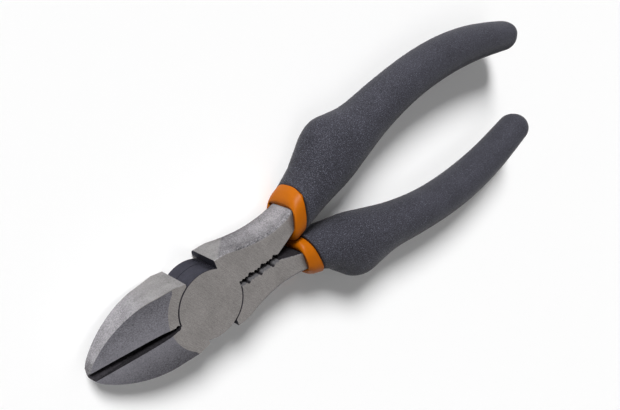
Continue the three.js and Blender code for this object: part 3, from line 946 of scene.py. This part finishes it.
def rings_mesh(name, rings, side):
    """The rings as a row of points on the spine, with what the sweep needs to know of each."""
    mesh = bpy.data.meshes.new(name)
    places = []
    outward = []
    for distance, _, _, slant in rings:
        centre, along = spine_at(min(distance, spine_length))
        across = Vector((-along.y, along.x, 0)) + math.tan(slant) * along
        places.append((centre.x, side * centre.y, lap_level))
        outward.append((across.x, side * across.y, 0))
    mesh.from_pydata(places, [(i, i + 1) for i in range(len(places) - 1)], [])
    mesh.attributes.new("outward", "FLOAT_VECTOR", "POINT").data.foreach_set("vector", np.ravel(outward))
    columns = {
        "out": [reach[0] for _, reach, _, _ in rings],
        "inn": [reach[1] for _, reach, _, _ in rings],
        "high": [reach[2] for _, reach, _, _ in rings],
        "fullness": [fullness for _, _, fullness, _ in rings],
    }
    for column, values in columns.items():
        mesh.attributes.new(column, "FLOAT", "POINT").data.foreach_set("value", values)
    return mesh


print("helpers for rings ready")

# %% [markdown]
# ## The sweep
#
# The tree lays a grid over the rings: one direction counts rings, the other goes round. Each grid point
# looks up its ring, works out its angle and takes its place on a superellipse whose outer and inner
# halves reach differently. Two covers that face each other are cut flat at the middle of the tool, as
# the moulds leave them. Curve To Mesh could sweep too, but only one shape for the whole length.

# %% Sweep tree
def sampled(tree, stations, ring_number, name, data_type):
    """The value that a ring holds under a name, for the ring of each grid point."""
    named = add_node(tree, "GeometryNodeInputNamedAttribute", {"Name": name}, data_type=data_type)
    found = add_node(tree, "GeometryNodeSampleIndex",
                     {"Geometry": stations, "Value": named.outputs["Attribute"], "Index": ring_number},
                     data_type=data_type, domain="POINT")
    return found.outputs[0]


def swell(tree, value, fullness):
    """The sine or cosine of an ellipse filled out to a superellipse."""
    power = calculate(tree, "DIVIDE", 2.0, fullness)
    without_noise = calculate(tree, "SUBTRACT", calculate(tree, "ABSOLUTE", value), 1e-6)
    size = calculate(tree, "POWER", calculate(tree, "MAXIMUM", without_noise, 0.0), power)
    return calculate(tree, "MULTIPLY", calculate(tree, "SIGN", value), size)


def scaled(tree, vector, factor):
    return add_node(tree, "ShaderNodeVectorMath", {0: vector, "Scale": factor}, operation="SCALE").outputs[0]


def added(tree, first, second):
    return add_node(tree, "ShaderNodeVectorMath", {0: first, 1: second}, operation="ADD").outputs[0]


def sweep_tree():
    """Rings as points in, a closed cover out."""
    tree, given, result = new_group(
        "cover sweep",
        "GeometryNodeTree",
        [("Rings", "NodeSocketGeometry"), ("Points Round", "NodeSocketInt"), ("Side", FLOAT),
         ("Middle Gap", FLOAT), ("Material", "NodeSocketMaterial")],
        [("Cover", "NodeSocketGeometry")],
    )
    rings = given.outputs["Rings"]
    count = add_node(tree, "GeometryNodeAttributeDomainSize", {0: rings}, component="MESH").outputs[0]
    columns = calculate(tree, "ADD", given.outputs["Points Round"], 1.0)
    grid = add_node(tree, "GeometryNodeMeshGrid", {"Vertices X": columns, "Vertices Y": count})
    index = add_node(tree, "GeometryNodeInputIndex").outputs[0]
    ring_number = calculate(tree, "MODULO", index, count)
    column = calculate(tree, "FLOOR", calculate(tree, "DIVIDE", index, count))
    step_round = calculate(tree, "MODULO", column, given.outputs["Points Round"])
    turn = calculate(tree, "DIVIDE", step_round, given.outputs["Points Round"])
    angle = calculate(tree, "MULTIPLY", turn, -2 * math.pi)

    centre_field = add_node(tree, "GeometryNodeInputPosition").outputs[0]
    centre = add_node(tree, "GeometryNodeSampleIndex",
                      {"Geometry": rings, "Value": centre_field, "Index": ring_number},
                      data_type="FLOAT_VECTOR", domain="POINT").outputs[0]
    outward = sampled(tree, rings, ring_number, "outward", "FLOAT_VECTOR")
    out, inn, high, fullness = (
        sampled(tree, rings, ring_number, name, "FLOAT") for name in ("out", "inn", "high", "fullness")
    )
    cosine = swell(tree, calculate(tree, "COSINE", angle), fullness)
    sine = swell(tree, calculate(tree, "SINE", angle), fullness)
    is_outer = calculate(tree, "GREATER_THAN", cosine, 0.0)
    wider = calculate(tree, "SUBTRACT", out, inn)
    reach = calculate(tree, "ADD", inn, calculate(tree, "MULTIPLY", wider, is_outer))
    rise = calculate(tree, "MULTIPLY", calculate(tree, "MULTIPLY", high, sine), given.outputs["Side"])
    sideways = scaled(tree, outward, calculate(tree, "MULTIPLY", reach, cosine))
    upwards = add_node(tree, "ShaderNodeCombineXYZ", {"Z": rise}).outputs[0]
    free = add_node(tree, "ShaderNodeSeparateXYZ", {0: added(tree, centre, added(tree, sideways, upwards))})

    half_gap = calculate(tree, "DIVIDE", given.outputs["Middle Gap"], 2.0)
    from_middle = calculate(tree, "MULTIPLY", free.outputs["Y"], given.outputs["Side"])
    cut = calculate(tree, "MINIMUM", from_middle, calculate(tree, "MULTIPLY", half_gap, -1.0))
    cut_back = calculate(tree, "MULTIPLY", cut, given.outputs["Side"])
    place = add_node(tree, "ShaderNodeCombineXYZ",
                     {"X": free.outputs["X"], "Y": cut_back, "Z": free.outputs["Z"]}).outputs[0]

    swept = add_node(tree, "GeometryNodeSetPosition", {"Geometry": grid.outputs[0], "Position": place})
    welded = add_node(tree, "GeometryNodeMergeByDistance",
                      {"Geometry": swept.outputs[0], "Distance": merge_distance})
    smooth = add_node(tree, "GeometryNodeSetShadeSmooth", {"Geometry": welded.outputs[0]})
    real = add_node(tree, "GeometryNodeRealizeInstances", {"Geometry": smooth.outputs[0]})
    finished = add_node(tree, "GeometryNodeSetMaterial",
                        {"Geometry": real.outputs[0], "Material": given.outputs["Material"]})
    tree.links.new(finished.outputs[0], result.inputs["Cover"])
    return tree


cover_sweep = sweep_tree()
print("tree made:", cover_sweep.name, "with", len(cover_sweep.nodes), "nodes")

# %% [markdown]
# ## Running the sweep
#
# A Geometry Nodes modifier is live: it is evaluated again on each change and does not travel to other
# programs. So once the inputs are set, the evaluated result is copied to a plain mesh and the modifier
# is gone. Inputs are set by the identifier of their socket, because two sockets may share a name.

# %% Run the sweep
points_round = 64
middle_gap = 0.4 * mm


def swept_cover(name, rings, side, material):
    """A closed cover from its rings. Side is 1 for the upper half and -1 for the lower one."""
    source = bpy.data.objects.new(name + "_rings", rings_mesh(name + "_rings", rings, side))
    scene.collection.objects.link(source)
    modifier = source.modifiers.new("sweep", "NODES")
    modifier.node_group = cover_sweep
    values = {
        "Points Round": points_round,
        "Side": float(side),
        "Middle Gap": middle_gap,
        "Material": material,
    }
    for item in cover_sweep.interface.items_tree:
        if item.in_out == "INPUT" and item.name in values:
            modifier[item.identifier] = values[item.name]
    evaluated = source.evaluated_get(bpy.context.evaluated_depsgraph_get())
    mesh = bpy.data.meshes.new_from_object(evaluated)
    bpy.data.objects.remove(source)
    mesh.name = name
    cover = bpy.data.objects.new(name, mesh)
    scene.collection.objects.link(cover)
    return cover


def report(piece):
    """Prints how many faces a piece has, whether it is closed and its volume."""
    skin = bmesh.new()
    skin.from_mesh(piece.data)
    loose = sum(1 for edge in skin.edges if len(edge.link_faces) != 2)
    volume = skin.calc_volume(signed=True) / mm**3
    print(piece.name, len(skin.faces), "faces,", loose, "open edges,", round(volume), "cubic mm")
    skin.free()


print("a cover has", points_round, "points round")

# %% [markdown]
# ## Inner sleeves
#
# Only the collar of the sleeve shows, a thick orange band that leans back over the shank, with a round
# shoulder at the front. Behind it the sleeve goes on as a thin tube round the tang, under the grip. The
# run starts at the closed end of that tube, steps out at the back of the collar, rounds its shoulder and
# turns into the bore.

# %% Make the inner sleeves
collar_place = 35.3 * mm
collar_length = 5.2 * mm
collar_half_width = 7 * mm
collar_offsets = {"upper": 0.7 * mm, "lower": -0.4 * mm}
collar_half_thickness = 7.5 * mm
collar_edge = 0.35 * mm
sleeve_wall = 1.1 * mm
cover_gap = 0.3 * mm
tang_end = 150 * mm


def collar_reach(distance, half):
    """Reaches of the collar, which swells from a thin wall to its full size over half its length."""
    thin = shank_reach(distance, cover_gap + sleeve_wall, half)
    offset = collar_offsets[half]
    full = np.array([collar_half_width - offset, collar_half_width + offset, collar_half_thickness])
    way = min((distance - collar_place) / (collar_length / 2), 1)
    rise = math.sqrt(1 - (1 - way) ** 2)
    return thin + (full - thin) * rise


def shank_rings(start, end, clearance, half):
    """Rings round the room of the shank, with a clearance, in even steps."""
    walk = run(start, end, 24)
    return [ring(d, shank_reach(d, clearance, half), bore_fullness, half) for d in walk]


def closing_ring(distance, half):
    return ring(distance, np.zeros(3), bore_fullness, half)


def sleeve_rings(half):
    """The sleeve's run of rings, from the closed end of its tube to the closed end of its bore."""
    collar_end = collar_place + collar_length
    tube_end = tang_end + cover_gap + sleeve_wall
    bore_end = tang_end + cover_gap
    tube = shank_rings(tube_end, collar_end, cover_gap + sleeve_wall, half)
    rear = collar_reach(collar_end, half) - skin_depth
    back_edge = []
    for turn in quarter:
        distance = collar_end - collar_edge * (1 - math.cos(turn))
        back_edge.append(ring(distance, rear - collar_edge * (1 - math.sin(turn)), collar_fullness, half))
    turns = np.linspace(math.pi / 2, 0, 15)
    swelling = [collar_place + collar_length / 2 * (1 - math.cos(turn)) for turn in turns]
    flat = run(collar_end - collar_edge, collar_place + collar_length / 2, 6)[1:-1]
    outside = [ring(d, collar_reach(d, half) - skin_depth, collar_fullness, half) for d in flat + swelling]
    bore = shank_rings(collar_place + skin_depth, bore_end, cover_gap, half)
    return [closing_ring(tube_end, half), *tube, *back_edge, *outside, *bore, closing_ring(bore_end, half)]


def dressed_cover(name, rings, side, body, node, material):
    cover = swept_cover(name, rings, side, material)
    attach(cover, body)
    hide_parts(node)
    report(cover)


for side, half in ((1, "upper"), (-1, "lower")):
    rings = sleeve_rings(half)
    dressed_cover(half + "_collar", rings, side, half, half + "_inner_sleeve", orange)

# %% [markdown]
# ## Grips
#
# The grip is the piece that the hand knows: slim behind the collar, a hump that stops the hand from
# sliding to the jaws, then a long even curve to a round tail. Its mouth has a soft lip, which leaves
# the thin dark line against the collar. The run goes from the tail's pole to the lip, and back inside.

# %% Make the grips
tail_radius = 6.2 * mm
lip_radius = 0.45 * mm


def grip_rings(half):
    """The grip's run of rings, from the pole of its tail to the closed end of its cavity."""
    start = collar_place + collar_length + cover_gap
    tail_start = spine_length - tail_radius
    tail = []
    for turn in np.linspace(math.pi / 2, 0, 15):
        distance = tail_start + (tail_radius - skin_depth) * math.sin(turn)
        reach = (grip_reach(distance) - skin_depth) * math.cos(turn)
        tail.append(ring(distance, reach, grip_fullness, half))
    walk = run(tail_start, start + lip_radius, 96)[1:-1]
    middle = [ring(d, grip_reach(d) - skin_depth, grip_fullness, half) for d in walk]
    mouth = lip(start, grip_reach(start) - skin_depth, lip_radius, grip_fullness, half)
    cavity_end = tang_end + 2 * cover_gap + sleeve_wall
    cavity = shank_rings(start, cavity_end, 2 * cover_gap + sleeve_wall, half)
    return [*tail, *middle, *mouth, *cavity, closing_ring(cavity_end, half)]


for side, half in ((1, "upper"), (-1, "lower")):
    rings = grip_rings(half)
    dressed_cover(half + "_handle_grip", rings, side, half, half + "_grip", grip_rubber)

# %% [markdown]
# ## Floor and world
#
# The tool lies on a white table whose edge can't be seen. A floor lit until it clips would do it, but it
# would light the tool from below as well. So the floor is a matt pale surface at a plain level, and a
# little light of its own, seen by the camera only, lifts it to white. Its shadows stay. The world is white
# to the camera and in reflections, and a plain grey level for what it lights.
#
# The grips are thicker than the joint, so the tool doesn't lie level: it rests on the grips and on the
# joint's underside. The tool has to stay where its frame puts it, so the floor is tilted to touch it
# there. From below, the floor is clear to the camera, so that the tool's back can be seen.

# %% Floor and world
floor_size = 3.0
rest_spacing = 20 * mm
floor_white = 0.92
floor_lift = 0.06
world_level = 0.12


def camera_share(tree, *rays):
    """1 for the kinds of rays that are named and 0 for the others."""
    path = add_node(tree, "ShaderNodeLightPath")
    share = path.outputs[rays[0]]
    for ray in rays[1:]:
        share = calculate(tree, "MAXIMUM", share, path.outputs[ray])
    return share


def rest_plane():
    """Slope along X, and height at the pivot, of the plane that the tool rests on."""
    corners = np.array([point.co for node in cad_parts.values() for point in node.data.vertices])
    lowest = corners[corners[:, 2].argmin()]
    ahead = corners[corners[:, 0] > lowest[0] + rest_spacing]
    slope = ((ahead[:, 2] - lowest[2]) / (ahead[:, 0] - lowest[0])).min()
    return slope, (corners[:, 2] - slope * corners[:, 0]).min()


floor_slope, floor_level = rest_plane()
floor_mesh = bpy.data.meshes.new("floor")
edge = floor_size / 2
floor_corners = [(-edge, -edge), (edge, -edge), (edge, edge), (-edge, edge)]
floor_mesh.from_pydata([(x, y, floor_level + floor_slope * x) for x, y in floor_corners], [], [(0, 1, 2, 3)])
floor = bpy.data.objects.new("floor", floor_mesh)
scene.collection.objects.link(floor)

floor_paint = bpy.data.materials.new("floor_paint")
floor_paint.use_nodes = True
paint = floor_paint.node_tree
paint.nodes.clear()
matt = add_node(paint, "ShaderNodeBsdfDiffuse", {"Color": (floor_white, floor_white, floor_white, 1)})
lift = calculate(paint, "MULTIPLY", camera_share(paint, "Is Camera Ray"), floor_lift)
glow = add_node(paint, "ShaderNodeEmission", {"Strength": lift})
both = add_node(paint, "ShaderNodeAddShader", {0: matt.outputs[0], 1: glow.outputs[0]})
below = add_node(paint, "ShaderNodeNewGeometry").outputs["Backfacing"]
from_below = calculate(paint, "MULTIPLY", camera_share(paint, "Is Camera Ray"), below)
clear = add_node(paint, "ShaderNodeBsdfTransparent")
shown = add_node(paint, "ShaderNodeMixShader", {0: from_below, 1: both.outputs[0], 2: clear.outputs[0]})
add_node(paint, "ShaderNodeOutputMaterial", {"Surface": shown.outputs[0]})
floor_mesh.materials.append(floor_paint)

world = bpy.data.worlds.new("studio")
world.use_nodes = True
sky = world.node_tree
sky.nodes.clear()
seen = camera_share(sky, "Is Camera Ray", "Is Glossy Ray", "Is Transmission Ray")
plain = (world_level, world_level, world_level, 1)
sky_colour = add_node(sky, "ShaderNodeMix", {"Factor": seen, 6: plain, 7: (1, 1, 1, 1)}, data_type="RGBA")
background = add_node(sky, "ShaderNodeBackground", {"Color": sky_colour.outputs[2], "Strength": 1.0})
add_node(sky, "ShaderNodeOutputWorld", {"Surface": background.outputs[0]})
scene.world = world
floor_tilt = math.degrees(math.atan(floor_slope))
print("floor", round(floor_level / mm, 2), "mm high at the pivot, tilted by", round(floor_tilt, 2))

# %% [markdown]
# ## Lamps
#
# The shadow falls to the lower right and is soft, and the sides that face the upper left are the
# brightest. That is one large light on the upper handle's side. An area lamp would do, but its light
# falls off across the floor and the white would turn uneven. A sun lamp with a wide disc has the
# same softness and an even level. A second, very wide sun from above keeps the shadows open.

# %% Lamps
def sun(name, towards_light, strength, spread):
    """A sun lamp with a wide disc."""
    lamp = bpy.data.lights.new(name, "SUN")
    lamp.energy = strength
    lamp.angle = math.radians(spread)
    placed = bpy.data.objects.new(name, lamp)
    placed.rotation_euler = Vector(towards_light).to_track_quat("Z", "Y").to_euler()
    scene.collection.objects.link(placed)


sun("key", (0.1, -0.95, 0.66), 4.5, 18)
sun("fill", (0.3, 0.2, 1.0), 0.25, 40)
scene.view_settings.view_transform = "Standard"
print("lamps:", [light.name for light in bpy.data.lights])
